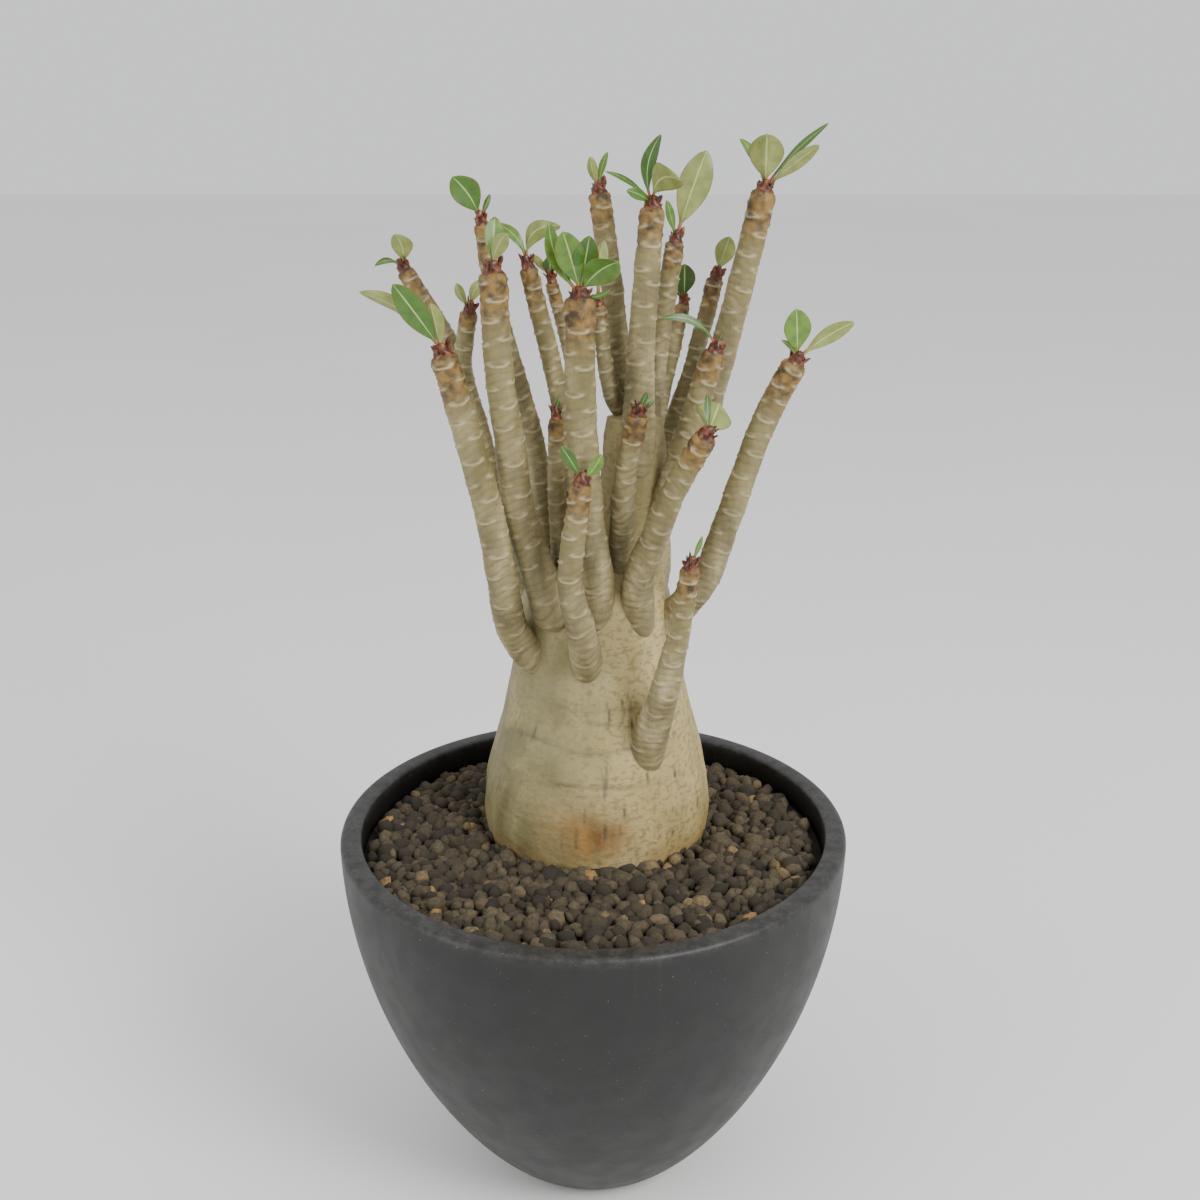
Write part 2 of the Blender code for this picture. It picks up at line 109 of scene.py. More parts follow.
# Stems: (foot radius, tip radius, what it grows from, route from the foot to the tip). A
# route's first point lies inside the wood that carries the stem.
STEMS = {
    "left_front": (5.0, 3.6, "caudex", ((-12, 6, 158), (-22, -2, 173), (-25, -9, 192),
                   (-28, -13, 213), (-33, -16, 235), (-38, -18, 255))),
    "left_rear": (4.3, 2.4, "caudex", ((-12, 14, 170), (-22, 14, 190), (-28, 13, 211),
                  (-33, 15, 232), (-40, 19, 252), (-52, 24, 271))),
    "left_fork": (1.8, 2.5, "left_rear", ((-36, 17, 241), (-36, 15, 250), (-34, 13, 261))),
    "rear_left": (4.1, 2.2, "caudex", ((-12, 12, 184), (-14, 9, 207), (-17, 8, 230),
                  (-25, 4, 262), (-29, 3, 286))),
    "front_left": (5.4, 3.6, "caudex", ((-11, -1, 180), (-15, -4, 192), (-20, -7, 211),
                   (-22, -12, 232), (-24, -16, 250), (-25, -18, 276))),
    "mid_left": (3.5, 2.4, "caudex", ((-2, 13, 186), (-6, 10, 218), (-10, 9, 243),
                 (-17, 7, 274))),
    "rear_dark": (2.5, 1.8, "caudex", ((2, 20, 186), (-2, 21, 230), (-6, 19, 248),
                  (-11, 17, 269))),
    "front_centre": (5.3, 3.9, "caudex", ((1, 0, 173), (1, -6, 192), (-1, -9, 208),
                     (-3, -13, 242), (-3, -14, 269))),
    "rear_centre": (3.5, 3.0, "caudex", ((9.5, 19, 222), (8, 20, 243), (6, 21, 263),
                    (2, 22, 292))),
    "rear_short": (3.0, 1.8, "rear_centre", ((10, 19, 234), (6, 14, 238), (3, 13, 251),
                   (2, 14, 263))),
    "centre_tall": (5.0, 3.4, "caudex", ((12, 10, 219), (13, 9, 238), (13.5, 9, 256),
                    (16, 11, 289))),
    "centre_rear": (3.1, 2.7, "caudex", ((14, 17, 222), (17, 22, 235), (19, 25, 251),
                    (23, 28, 278))),
    "right_tall": (4.9, 3.5, "caudex", ((16, 16, 196), (24, 18, 216), (32, 20, 232),
                   (42, 24, 270), (47, 25, 292))),
    "right_rear": (3.8, 2.4, "caudex", ((14, 22, 200), (17.5, 27, 212), (22, 30, 223),
                   (28, 32, 240), (35, 35, 267))),
    "far_rear": (2.6, 2.2, "caudex", ((13, 17, 219), (18, 26, 228), (21, 31, 239),
                 (26, 38, 259))),
    "right_mid": (4.4, 3.3, "caudex", ((15, 9, 194), (19, 6.5, 206), (24, 5, 222),
                  (33, 3, 252))),
    "right_front": (4.8, 3.2, "caudex", ((12, 1, 175), (13, -6, 192), (17, -12, 205),
                    (22, -17, 220), (29, -23, 235))),
    "far_right": (4.7, 3.3, "caudex", ((18, 9, 169), (31, 4, 186), (36, 2, 200),
                  (46, 0, 232), (54, -2, 250))),
    "low_right": (5.7, 2.6, "caudex", ((14, -6, 136), (19, -17, 158), (23, -22, 178),
                  (26, -26, 200))),
    "low_centre": (5.0, 3.0, "caudex", ((-1, -2, 160), (-3, -12, 177), (-6, -17, 195),
                   (-3, -19, 221))),
    "low_left": (3.1, 2.0, "caudex", ((-7, 4, 184), (-10, 1, 212), (-10, 2, 234))),
    "low_mid": (4.0, 3.0, "caudex", ((6, 8, 180), (8, 1, 200), (9, -5, 220),
                (12, -8, 237))),
}
FLARE_POWER = 1.5                # how quickly a stem narrows away from its foot
STEM_STEP = 0.42
STEM_COLUMNS = 44
ROOT_IN_CAUDEX = 12.0            # how far a tube runs on into the caudex
ROOT_IN_STEM = 2.0               # and into another stem
ROOT_DROP = 16.0                 # a root in the caudex aims this far below its first point
SWELL = 1.1                      # extra radius where a stem leaves the wood
SWELL_LENGTH = 6.0
WRINKLE_LENGTH = 2.3
SCAR_START = 4.0
SCAR_REACH = 1.45                # size of a scar's oval before it is flattened
SCAR_WINDOW = 4.5                # a scar is worked out this far up and down
DOME_ANGLES = (25, 50, 72)       # degrees, for the rings of the domed tip

# Leaves of each tuft: (compass angle, rise, length, bow, width, roll), angles in degrees.
# The compass angle turns from +X towards +Y, the rise is above level, the bow lifts the
# middle off the straight line, and the roll turns the blade about its midrib from broad
# side to the front.
LEAVES = {
    "left_front": ((169, 34, 26, 2.8, 4.5, 150), (-153, 55, 22, 0.2, 6.2, 20),
                   (-141, 77, 13, 0.0, 4.4, 165)),
    "left_rear": ((-161, 80, 9, 1.2, 5.4, 175), (-154, 5, 8, 1.5, 1.8, 40)),
    "left_fork": ((-150, 62, 8, -0.6, 2.5, 170), (40, 58, 9, 0.9, 3.3, 160)),
    "rear_left": ((-166, 57, 13, 0.9, 6.8, 10), (40, 62, 7, 0.0, 1.4, 0)),
    "front_left": ((80, 74, 13, 0.7, 4.4, 15), (-47, 58, 11, 1.2, 4.0, 165)),
    "mid_left": ((-20, 47, 14, 4.0, 4.8, 160), (160, 47, 14, 2.3, 2.7, 20)),
    "rear_dark": ((-100, 75, 6, 0.0, 3.8, 10), (169, 48, 8, 0.0, 2.2, 160)),
    "front_centre": ((-166, 66, 20, -2.0, 4.2, 25), (-125, 66, 18, 0.3, 6.8, 5),
                     (-60, 72, 16, 0.2, 5.8, 5), (-35, 38, 15, 1.5, 7.4, 15),
                     (-10, 10, 8, -1.2, 1.4, 0)),
    "rear_short": ((60, 80, 16, 1.5, 4.0, 165),),
    "rear_centre": ((-142, 72, 9, -0.4, 2.6, 170), (0, 76, 10, 0.5, 1.8, 10)),
    "centre_tall": ((-6, 84, 18, 2.6, 4.2, 30), (-43, 34, 12, 4.0, 7.6, 170),
                    (-150, 26, 9, 0.5, 2.8, 20), (156, 30, 16, 1.3, 1.5, 30)),
    "centre_rear": ((27, 68, 25, 0.2, 8.2, 170), (-145, 72, 11, 0.0, 2.4, 20)),
    "right_tall": ((-94, 74, 15, 0.5, 8.6, 172), (150, 58, 15, 1.4, 2.8, 20),
                   (6, 45, 24, 1.2, 2.3, 30), (-25, 38, 19, 0.2, 3.5, 165)),
    "right_rear": ((20, 70, 11, 0.0, 5.2, 170),),
    "far_rear": ((-94, 78, 11, 0.0, 5.6, 5), (-155, 60, 7, -0.4, 1.8, 0)),
    "right_mid": ((-169, 28, 18, 3.3, 2.2, 30), (-30, 70, 4, 0.0, 1.2, 0)),
    "right_front": ((70, 28, 12, 0.0, 9.0, 175), (89, 56, 11, 0.5, 1.7, 20)),
    "far_right": ((-115, 80, 14, 0.3, 6.6, 8), (8, 32, 18, 0.8, 4.0, 165),
                  (-170, 50, 7, 0.8, 1.3, 0)),
    "low_right": ((30, 66, 8, 0.0, 1.4, 20),),
    "low_centre": ((-165, 60, 11, 0.2, 3.0, 10), (-9, 54, 9, -0.6, 3.3, 15)),
    "low_left": ((10, 78, 4, 0.0, 1.4, 0),),
    "low_mid": ((-21, 66, 6, 0.0, 1.6, 0), (19, 30, 5, 0.0, 1.3, 0)),
}

LEAF_START = 2.2                 # height of a leaf's root above the stem's end
LEAF_MAKE = (30, 24, 0.55, 0.16)    # rows, columns, thickness, part of the length in stalk
BRACT_MAKE = (9, 8, 0.4, 0.0)


# Shapes.

def full_turn(count):
    """Even angles round a circle."""
    return np.linspace(0, 2 * math.pi, count, endpoint=False)


def wrap(angle):
    """An angle brought between minus and plus half a turn."""
    return (angle + math.pi) % (2 * math.pi) - math.pi


def run_along(points):
    """Distance travelled at each point of a broken line."""
    return np.concatenate([[0], np.cumsum(np.linalg.norm(np.diff(points, axis=0), axis=1))])


def turned(radius, height, angle):
    """Points at a radius and a height, turned to each angle about the upright axis."""
    return np.stack([radius * np.cos(angle), radius * np.sin(angle), height + 0 * angle], -1)


def ring_of(side, face, angle):
    """Directions round each section: cosine times its side plus sine times its face."""
    return (side[:, None] * np.cos(angle)[None, :, None]
            + face[:, None] * np.sin(angle)[None, :, None])


def shell(grid, low, high, values):
    """A closed skin over a grid of rings: neighbouring rings are joined by quads, and the
    first and last rings by fans to a low and a high point. Values are one number for each
    grid point. Faces are turned outward by the sign of the volume they enclose."""
    rows, cols = grid.shape[:2]
    points = np.vstack([grid.reshape(-1, 3), low, high])
    ring = np.arange(cols)
    after = (ring + 1) % cols
    base = np.arange(rows - 1)[:, None] * cols
    quads = np.stack([base + ring, base + after, base + cols + after, base + cols + ring], -1)
    quads = quads.reshape(-1, 4)
    end = (rows - 1) * cols
    count = rows * cols
    fans = np.vstack([np.stack([after, ring, 0 * ring + count], -1),
                      np.stack([end + ring, end + after, 0 * ring + count + 1], -1)])
    triangles = np.vstack([quads[:, [0, 1, 2]], quads[:, [0, 2, 3]], fans])
    a, b, c = (points[triangles[:, i]] for i in range(3))
    if np.einsum("ij,ij->i", a, np.cross(b, c)).sum() < 0:
        quads = quads[:, ::-1]
        fans = fans[:, ::-1]
    flat = {}
    for key, value in values.items():
        full = np.broadcast_to(value, (rows, cols))
        flat[key] = np.concatenate([full.ravel(), [full[0].mean()], [full[-1].mean()]])
    return points, quads, fans, flat


def join_shells(shells):
    """Several closed skins as one set of points, quads, triangles and values."""
    starts = np.cumsum([0] + [len(item[0]) for item in shells[:-1]])
    points = np.vstack([item[0] for item in shells])
    quads = np.vstack([item[1] + start for item, start in zip(shells, starts)])
    fans = np.vstack([item[2] + start for item, start in zip(shells, starts)])
    values = {key: np.concatenate([item[3][key] for item in shells]) for key in shells[0][3]}
    return points, quads, fans, values


def make_mesh(name, shape):
    """A mesh in metres from a shape in mm, with the shape's values stored on its points."""
    points, quads, fans, values = shape
    mesh = bpy.data.meshes.new(name)
    mesh.from_pydata((points * MM).tolist(), [], quads.tolist() + fans.tolist())
    for key, value in values.items():
        layer = mesh.attributes.new(key, "FLOAT", "POINT")
        layer.data.foreach_set("value", value.astype(np.float32))
    return mesh


def make_piece(name, shape, material, node):
    """A smooth mesh object that stands for one CAD node and takes its finish from a slot."""
    mesh = make_mesh(name, shape)
    mesh.shade_smooth()
    mesh.materials.append(material)
    piece = bpy.data.objects.new(name, mesh)
    bpy.context.scene.collection.objects.link(piece)
    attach(piece, "root")
    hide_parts(node)
    return piece


def smooth_route(route, widths, spacing):
    """Even steps along a Catmull-Rom curve: on each span the place is the cubic blend of
    the four nearest route points. Widths are carried along in straight lines between them."""
    given = np.array(route, float)
    padded = np.vstack([2 * given[0] - given[1], given, 2 * given[-1] - given[-2]])
    spans = len(given) - 1
    t = np.linspace(0, spans, spans * 60 + 1)
    i = np.minimum(t.astype(int), spans - 1)
    f = (t - i)[:, None]
    a, b, c, d = (padded[i + k] for k in range(4))
    curve = 0.5 * (2 * b + (c - a) * f + (2 * a - 5 * b + 4 * c - d) * f ** 2
                   + (3 * b - a - 3 * c + d) * f ** 3)
    run = run_along(curve)
    steps = np.linspace(0, run[-1], int(run[-1] / spacing) + 2)
    places = np.stack([np.interp(steps, run, curve[:, k]) for k in range(3)], -1)
    width = np.interp(np.interp(steps, run, t), np.arange(spans + 1), widths)
    return places, width, steps


def section_frames(places):
    """The direction along a route and two square to it: the level cross product with +Y,
    and the one that completes the three."""
    along = np.gradient(places, axis=0)
    along /= np.linalg.norm(along, axis=1, keepdims=True)
    side = np.cross([0.0, 1.0, 0.0], along)
    side /= np.linalg.norm(side, axis=1, keepdims=True)
    return along, side, np.cross(along, side)


def waves(points, seed, length):
    """A smooth pattern, mostly from -1 to 1: 1.6 times the mean of sine waves of about one
    length that run in seeded random directions."""
    rng = np.random.default_rng(seed)
    heading = rng.normal(size=(WAVE_COUNT, 3))
    heading *= (2 * math.pi / length * rng.uniform(0.6, 1.5, WAVE_COUNT)
                / np.linalg.norm(heading, axis=1))[:, None]
    phase = rng.uniform(0, 2 * math.pi, WAVE_COUNT)
    return np.sin(points @ heading.T + phase).mean(-1) * 1.6


def stem_scars(run, width, angle, seed, spacing):
    """Ridges and cups of the leaf scars, each from 0 to 1. A ridge is a bell across the edge
    of a flat oval, kept on its lower half, and a cup fills the oval. Scars climb the stem by
    uneven steps, each a golden turn round from the one before."""
    rng = np.random.default_rng(seed)
    ridge = np.zeros((len(run), len(angle)))
    cup = np.zeros_like(ridge)
    position = SCAR_START
    index = 0
    while position < run[-1] - 0.5:
        close = np.abs(run - position) < SCAR_WINDOW
        up = (run[close] - position)[:, None]
        across = width[close][:, None] * wrap(angle - index * GOLDEN_TURN - seed)[None, :]
        reach = SCAR_REACH * rng.uniform(0.85, 1.2)
        oval = np.sqrt((up * 2.3) ** 2 + (across * 0.62) ** 2)
        edge = np.exp(-((oval - reach) / 0.5) ** 2) / (1 + np.exp(4.0 * (up - 0.25)))
        young = 0.45 + 0.55 * position / run[-1]
        ridge[close] = np.maximum(ridge[close], edge * young)
        cup[close] = np.maximum(cup[close], np.exp(-(oval / (0.75 * reach)) ** 4) * young)
        position += spacing * rng.uniform(0.3, 0.6)
        index += 1
    return ridge, cup


def stem_shape(name, scar_spacing, scar_height):
    """A tube along the stem's route with a domed tip, its root led on into the wood that
    carries it. Its width narrows from the foot as a power of the share left to run. The
    radius adds scars, unevenness, a swell where it leaves the wood, level wrinkles, and a
    fine roughness that grows towards the tip."""
    foot, tip, parent, route = STEMS[name]
    share = 1 - np.linspace(0, 1, len(route))
    first = np.array(route[0], float)
    if parent == "caudex":
        sunk = ROOT_IN_CAUDEX
        inward = np.array([*CAUDEX_AXIS, first[2] - ROOT_DROP]) - first
    else:
        sunk = ROOT_IN_STEM
        inward = first - np.array(route[1], float)
    root = first + inward / np.linalg.norm(inward) * sunk
    widths = np.append(foot * 0.75, tip + (foot - tip) * share ** FLARE_POWER)
    places, width, run = smooth_route((root, *route), widths, STEM_STEP)
    along, side, face = section_frames(places)
    angle = full_turn(STEM_COLUMNS)
    seed = sum(ord(letter) for letter in name)
    ridge, cup = stem_scars(run, width, angle, seed, scar_spacing)
    ring = ring_of(side, face, angle)
    skin = places[:, None] + ring * width[:, None, None]
    uneven = waves(skin, seed, 9.0)
    fine = waves(skin, seed + 7, 2.2)
    near_tip = np.clip((run / run[-1] - 0.84) / 0.16, 0, 1)[:, None]
    drift = 0.5 * uneven + 0.35 * np.sin(2 * angle + seed)[None, :]
    wrinkle = np.sin(2 * math.pi * (run[:, None] / WRINKLE_LENGTH + drift))
    wrinkle = wrinkle * (0.4 + 0.6 * uneven ** 2)
    swell = SWELL * np.exp(-np.abs(run - sunk) / SWELL_LENGTH)[:, None]
    radius = (width[:, None] + scar_height * (ridge - 0.35 * cup) + 0.2 * uneven + swell
              + 0.10 * wrinkle + fine * (0.06 + 0.3 * near_tip))
    grid = places[:, None] + ring * radius[..., None]
    dome = np.radians(DOME_ANGLES)
    cap = (places[-1] + along[-1] * (width[-1] * 0.55 * np.sin(dome))[:, None])[:, None]
    cap = cap + ring[-1][None] * (radius[-1][None, :] * np.cos(dome)[:, None])[..., None]
    # The wrinkle pattern is also stored so that the material can darken its grooves as painted shade.
    patterns = {"scar": (ridge, 0), "cup": (cup, 0), "tip": (near_tip, 1),
                "run": ((run / run[-1])[:, None], 1), "wrinkle": (0.5 + 0.5 * wrinkle, 0)}
    values = {key: np.pad(np.broadcast_to(pattern, ridge.shape), ((0, len(dome)), (0, 0)),
                          constant_values=on_dome)
              for key, (pattern, on_dome) in patterns.items()}
    return shell(np.concatenate([grid, cap]), places[0],
                 places[-1] + along[-1] * width[-1] * 0.57, values)


def blade_shape(root, leaf, seed, bract=False):
    """A thin closed blade, or a small dry bract. Its midrib bows by a parabola, its half
    width is a narrow stalk followed by a swollen sine, and its section is a flat oval
    folded up along the midrib and rippled at its edges. A bract has no stalk."""
    compass, rise, length, bow, width, roll = leaf
    rows, columns, thick, stalk = BRACT_MAKE if bract else LEAF_MAKE
    compass, rise, roll = np.radians([compass, rise, roll])
    ahead = np.array([math.cos(rise) * math.cos(compass), math.cos(rise) * math.sin(compass),
                      math.sin(rise)])
    lift = np.array([-math.sin(rise) * math.cos(compass), -math.sin(rise) * math.sin(compass),
                     math.cos(rise)])
    t = np.linspace(0, 1, rows)
    places = root + np.outer(t * length, ahead) + np.outer(bow * 4 * t * (1 - t), lift)
    level = np.cross([0.0, 1.0, 0.0], ahead)
    level /= max(np.linalg.norm(level), 1e-6)
    below = np.cross(ahead, level)
    across = math.cos(roll) * level + math.sin(roll) * below
    under = -math.sin(roll) * level + math.cos(roll) * below
    blade = np.clip((t - stalk) / (1 - stalk), 0, 1)
    half = width * 0.56 * np.sin(math.pi * blade ** 1.2 * 0.97) ** 0.72
    half = np.maximum(half, 0.5 * np.clip(1.25 - t, 0.2, 1))
    half[-1] *= 0.5
    angle = full_turn(columns)
    spread, depth = np.cos(angle), np.sin(angle)
    rng = np.random.default_rng(seed)
    fold = rng.uniform(0.12, 0.3)
    ripple = 0.07 * np.sin(t * rng.uniform(9, 14) + rng.uniform(0, 6))[:, None] * half[:, None]
    rib = np.exp(-(spread / 0.12) ** 2) * np.where(depth > 0, 0.32, -0.12)
    flat = thick / 2 * depth * (1 - 0.6 * np.abs(spread)) * np.minimum(1, half[:, None] / 0.5)
    curl = -half[:, None] * np.abs(spread) * fold + ripple * spread ** 2 * np.sign(spread)
    out = flat + curl + rib * thick * (1 - t[:, None])
    grid = (places[:, None] + across * (half[:, None] * spread)[..., None]
            + under * out[..., None])
    values = {"across": np.abs(spread), "along": t[:, None], "upper": (depth < 0) * 1.0,
              "dry": float(bract), "tone": rng.uniform(0, 1)}
    return shell(grid, places[0] - ahead * 0.1, places[-1] + ahead * 0.15, values)


def tuft_shape(name, bract_count):
    """A short scaly bud with its leaves, and small dry bracts round its foot by golden turns."""
    _, tip_radius, _, route = STEMS[name]
    tip = np.array(route[-1], float)
    ahead = tip - np.array(route[-2], float)
    ahead /= np.linalg.norm(ahead)
    side = np.cross([0.0, 1.0, 0.0], ahead)
    side /= np.linalg.norm(side)
    face = np.cross(ahead, side)
    seed = sum(ord(letter) for letter in name) * 3
    rng = np.random.default_rng(seed)
    angle = full_turn(24)
    ring = np.outer(np.cos(angle), side) + np.outer(np.sin(angle), face)
    rise = np.linspace(0, 1, 12)
    scales = 1 + 0.12 * np.sin(3 * angle[None, :] + 9 * rise[:, None])
    radius = tip_radius * (0.8 - 0.5 * rise[:, None] ** 1.3) * scales
    grid = (tip + ahead * (0.4 + 4.0 * rise)[:, None])[:, None] + ring * radius[..., None]
    values = {"across": 0.0, "along": rise[:, None], "upper": 1.0, "dry": 1.0, "tone": 0.5}
    shells = [shell(grid, tip + ahead * 0.3, tip + ahead * 4.8, values)]
    for index, leaf in enumerate(LEAVES[name]):
        shells.append(blade_shape(tip + ahead * LEAF_START, leaf, seed + index))
    for index in range(bract_count):
        turn = index * GOLDEN_TURN + rng.uniform(-0.3, 0.3)
        out = math.cos(turn) * side + math.sin(turn) * face
        root = tip + ahead * rng.uniform(0.6, 2.4) + out * tip_radius * 0.5
        heading = out * rng.uniform(0.15, 0.55) + ahead
        compass = math.degrees(math.atan2(heading[1], heading[0]))
        lean = math.degrees(math.atan2(heading[2], math.hypot(heading[0], heading[1])))
        bract = (compass, lean, rng.uniform(1.8, 3.6), 0.3, rng.uniform(0.7, 1.4),
                 rng.uniform(0, 180))
        shells.append(blade_shape(root, bract, seed + 50 + index, bract=True))
    return join_shells(shells)


def caudex_slits(radius, height, angle):
    """Short upright slits in seeded random places: a bell across each one's bent line, with
    square-shouldered ends."""
    rng = np.random.default_rng(21)
    slit = np.zeros((len(height), angle.size))
    for _ in range(SLIT_COUNT):
        where = rng.uniform(-math.pi, math.pi)
        z = rng.uniform(106, 160)
        tall = rng.uniform(1.2, 4.0)
        bend = 0.5 * np.sin((height - z) / 2.2 + where)
        gap = radius * wrap(angle - where) + bend
        slit = np.maximum(slit, rng.uniform(0.3, 1.0) * np.exp(-(gap / 0.34) ** 2)
                          * np.exp(-((height - z) / tall) ** 4))
    return slit


def caudex_shape(lobe_depth):
    """The swollen base turned from its profile, which a sliding cosine bell smooths, with
    gentle lobes and dents, a slight waist, and level creases and upright slits pressed into
    it. The trunk's tube rises out of it."""
    profile = np.array(CAUDEX_PROFILE, float)[::-1]
    run = run_along(profile)
    steps = np.linspace(0, run[-1], 1200)
    bell = np.hanning(95)
    bell /= bell.sum()
    radius, height = (np.convolve(np.pad(np.interp(steps, run, profile[:, k]), 47, mode="edge"),
                                  bell, "valid") for k in range(2))
    pick = np.linspace(8, len(steps) - 9, CAUDEX_ROWS).astype(int)
    radius, height = radius[pick][:, None], height[pick][:, None]
    angle = full_turn(CAUDEX_COLUMNS)[None, :]
    middle = np.array([*CAUDEX_AXIS, 0.0])
    flat = turned(radius, height, angle)
    lobes = waves(flat * [1.0, 1.0, 0.45], 4, 46.0)
    dents = waves(flat, 11, 17.0)
    front = np.exp(-(wrap(angle + math.pi / 2) / 1.1) ** 2)
    wander = 1.6 * np.sin(3 * angle) + 0.8 * np.sin(7 * angle + 1)
    fade = 0.35 + 0.65 * np.clip(waves(flat, 5, 15.0) + 0.3, 0, 1)
    crease = fade * sum(deep * np.exp(-((height - z + wander * k) / 0.6) ** 2)
                        for z, deep, k in CREASES) * front
    slit = caudex_slits(radius, height, angle)
    full = np.clip(radius / 12.0, 0, 1)
    waist = np.exp(-((height - WAIST_HEIGHT) / 5.0) ** 2) * front
    wide = radius + full * (lobe_depth * lobes + 0.45 * dents - 0.4 * crease - 0.3 * slit)
    wide = wide - full * 0.9 * waist
    grid = middle + turned(wide, height, angle)
    x, y, z = (grid[..., k] for k in range(3))
    stain = np.exp(-(x / 13.0) ** 2 - ((z - STAIN_HEIGHT) / 9.0) ** 2) * (y < CAUDEX_AXIS[1])
    base = np.clip((116 - z) / 12.0, 0, 1)
    values = {"stain": np.maximum(stain, 0.55 * base),
              # Painted shade: the left side, away from the main light, is marked to turn olive grey, the
              # line leaning further left lower down.
              "painted_side_shade": 1 / (1 + np.exp((x - 4 + 0.15 * (160 - z)) / 5.0)),
              # Painted shade: the creases and slits are marked to be darkened.
              "crease_and_slit_shade": np.clip(crease * 0.75 + slit, 0, 1)}
    low = middle + [0, 0, profile[0, 1]]
    bulb = shell(grid, low, middle + [0, 0, height.max() + 0.3], values)
    places, width, _ = smooth_route(TRUNK_ROUTE, TRUNK_RADII, TRUNK_STEP)
    along, side, face = section_frames(places)
    ring = ring_of(side, face, full_turn(TRUNK_COLUMNS))
    trunk = places[:, None] + ring * width[:, None, None]
    bumps = 0.5 * waves(trunk, 31, 14.0) + 0.15 * waves(trunk, 33, 4.0)
    trunk = trunk + ring * bumps[..., None]
    # The trunk takes a share of the painted side shade all over, and no stain or crease shade.
    values = {"stain": 0.0, "painted_side_shade": 0.6, "crease_and_slit_shade": 0.0}
    return join_shells([bulb, shell(trunk, places[0], places[-1] + along[-1] * 2.0, values)])


def bowl_radius(height):
    """Outer radius of the bowl: the foot's radius plus a share of the way to the rim that
    rises as one minus a power of the height left, all to a second power."""
    rise = np.clip(height / POT_HEIGHT, 0, 1)
    bulge = (1 - (1 - rise) ** BOWL_POWER) ** (1 / BOWL_ROUND)
    return FOOT_RADIUS + (RIM_RADIUS - FOOT_RADIUS) * bulge


def inner_side(top, count, gap):
    """Radius and height up the bowl's inner wall less a gap, with the steps closer low down."""
    height = FLOOR_TOP + 4 + (top - FLOOR_TOP - 4) * np.linspace(0, 1, count) ** 1.5
    return np.stack([bowl_radius(height) - WALL - gap, height], -1)


def corner(start, bend, end, steps=5):
    """Points on a rounded corner: the quadratic blend of its start, bend and end."""
    t = np.linspace(0, 1, steps)[:, None]
    start, bend, end = (np.array(point) for point in (start, bend, end))
    return (1 - t) ** 2 * start + 2 * t * (1 - t) * bend + t ** 2 * end


def pot_outline():
    """Radius and height along the pot's skin, from the inner floor over the rim to the
    underside."""
    step_top = POT_HEIGHT - RIM_DEPTH
    inner = inner_side(step_top - RIM_WIDTH / 2, 30, 0.0)
    lip = RIM_RADIUS - RIM_WIDTH
    fall = 1 + (POT_HEIGHT - RIM_ROUND - 1.5) * np.linspace(1, 0, 60) ** 1.5
    outer = np.stack([bowl_radius(fall), fall], -1)
    top = POT_HEIGHT
    ring = FOOT_RADIUS - FOOT_RING_WIDTH
    return np.vstack([
        [(inner[0, 0] - 4, FLOOR_TOP)], inner, [(lip, step_top)], [(lip, step_top + 3)],
        corner((lip, top - 1.2), (lip, top), (lip + 1.2, top)),
        [(lip + 2.4, top + 0.1)],
        corner((RIM_RADIUS - 2.2, top), (RIM_RADIUS, top), (RIM_RADIUS, top - 2.4), 7),
        outer, corner((FOOT_RADIUS + 0.4, 0.6), (FOOT_RADIUS, 0), (FOOT_RADIUS - 0.6, 0), 4),
        [(ring, 0.0), (ring - 1, RECESS)]])


def pot_shape(warp):
    """The pot's skin turned through a full circle. Its rim is slightly out of true by a
    three-lobed warp that grows as the fourth power of the height."""
    outline = pot_outline()
    angle = full_turn(POT_COLUMNS)[None, :]
    radius, height = outline[:, :1], outline[:, 1:]
    wide = radius + warp * (height / POT_HEIGHT) ** 4 * np.sin(3 * angle + 0.6)
    return shell(turned(wide, height, angle), (0, 0, FLOOR_TOP), (0, 0, RECESS), {})


def prism(outline, middle, high):
    """An upright block on an outline at height nought, from below the foot to a height."""
    ends = np.array([(0, 0, CUTTER_LOW), (0, 0, high)])
    return shell(outline + ends[:, None], *(middle + ends), {})


def drain_shape():
    """Upright prisms for the drain holes and blocks for the notches in the foot ring."""
    places = [(0.0, 0.0, DRAIN_MIDDLE_RADIUS)]
    for turn in np.arange(DRAIN_COUNT) * 2 * math.pi / DRAIN_COUNT:
        places.append((DRAIN_CIRCLE * math.cos(turn), DRAIN_CIRCLE * math.sin(turn), DRAIN_RADIUS))
    shells = []
    angle = full_turn(32)
    for x, y, radius in places:
        circle = np.stack([x + radius * np.cos(angle), y + radius * np.sin(angle), 0 * angle], -1)
        shells.append(prism(circle, np.array([x, y, 0.0]), CUTTER_HIGH))
    for turn in math.radians(60) + np.arange(NOTCH_COUNT) * 2 * math.pi / NOTCH_COUNT:
        out = np.array([math.cos(turn), math.sin(turn), 0.0])
        side = np.array([-math.sin(turn), math.cos(turn), 0.0])
        middle = out * (FOOT_RADIUS - FOOT_RING_WIDTH / 2)
        square = np.array([out * a * 7 + side * b * NOTCH_WIDTH / 2 + middle
                           for a, b in ((-1, -1), (1, -1), (1, 1), (-1, 1))])
        shells.append(prism(square, middle, RECESS - 0.5))
    return join_shells(shells)


def bed_shape():
    """The grit's solid bed, turned to fill the bowl a little under the loose grains."""
    floor = FLOOR_TOP + BED_GAP
    side = inner_side(98.0, 20, BED_GAP)
    outline = np.vstack([[(side[0, 0] - 4, floor)], side, [(BED_EDGE, 102.3)],
                         [(BED_EDGE, 103.6)], [(50, BED_TOP)], [(20, BED_TOP)]])
    grid = turned(outline[:, :1], outline[:, 1:], full_turn(BED_COLUMNS)[None, :])
    return shell(grid, (0, 0, floor), (0, 0, BED_TOP), {"tone": 0.12})


